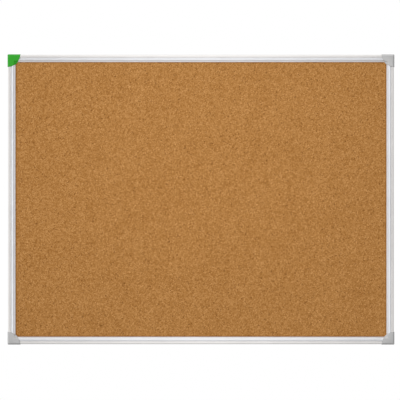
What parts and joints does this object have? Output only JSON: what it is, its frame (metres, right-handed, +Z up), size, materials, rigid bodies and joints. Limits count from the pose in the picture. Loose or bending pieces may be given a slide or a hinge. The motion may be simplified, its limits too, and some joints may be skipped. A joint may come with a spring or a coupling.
{
  "type": "framed cork pinboard",
  "caption": "Wall pinboard: laminated cork panel in a satin aluminium frame, with moulded corner keys and pull-off quarter-round corner caps that cover the wall screw holes.",
  "frame": {"origin": "centre of the board on the wall plane", "axes": "+X to the right seen from the front, +Y into the wall, +Z up"},
  "size_m": [1.2024, 0.0202, 0.9024],
  "materials": {
    "aluminium": "satin",
    "cork": "matte",
    "softboard": "matte",
    "backing_paper": "matte",
    "grey_plastic": "satin",
    "green_plastic": "satin",
    "key_plastic": "matte",
    "zinc_steel": "satin"
  },
  "bodies": {
    "board": {"back_sheet": "backing_paper", "softboard_core": "softboard", "cork_sheet": "cork", "rail_bottom": "aluminium", "rail_left": "aluminium", "rail_top": "aluminium", "rail_right": "aluminium", "corner_key_bottom_left": "key_plastic", "corner_key_top_left": "key_plastic", "corner_key_top_right": "key_plastic", "corner_key_bottom_right": "key_plastic", "corner_screw_bottom_left_1": "zinc_steel", "corner_screw_bottom_left_2": "zinc_steel", "corner_screw_top_left_1": "zinc_steel", "corner_screw_top_left_2": "zinc_steel", "corner_screw_top_right_1": "zinc_steel", "corner_screw_top_right_2": "zinc_steel", "corner_screw_bottom_right_1": "zinc_steel", "corner_screw_bottom_right_2": "zinc_steel"},
    "cap_bottom_left": {"corner_cap_bottom_left": "grey_plastic"},
    "cap_top_left": {"corner_cap_top_left": "green_plastic"},
    "cap_top_right": {"corner_cap_top_right": "grey_plastic"},
    "cap_bottom_right": {"corner_cap_bottom_right": "grey_plastic"}
  },
  "joints": [
    {"name": "cap_bottom_left_pull", "type": "slide", "parent": "board", "child": "cap_bottom_left", "axis": [0, -1, 0], "range_m": [0, 0.03]},
    {"name": "cap_top_left_pull", "type": "slide", "parent": "board", "child": "cap_top_left", "axis": [0, -1, 0], "range_m": [0, 0.03]},
    {"name": "cap_top_right_pull", "type": "slide", "parent": "board", "child": "cap_top_right", "axis": [0, -1, 0], "range_m": [0, 0.03]},
    {"name": "cap_bottom_right_pull", "type": "slide", "parent": "board", "child": "cap_bottom_right", "axis": [0, -1, 0], "range_m": [0, 0.03]}
  ]
}
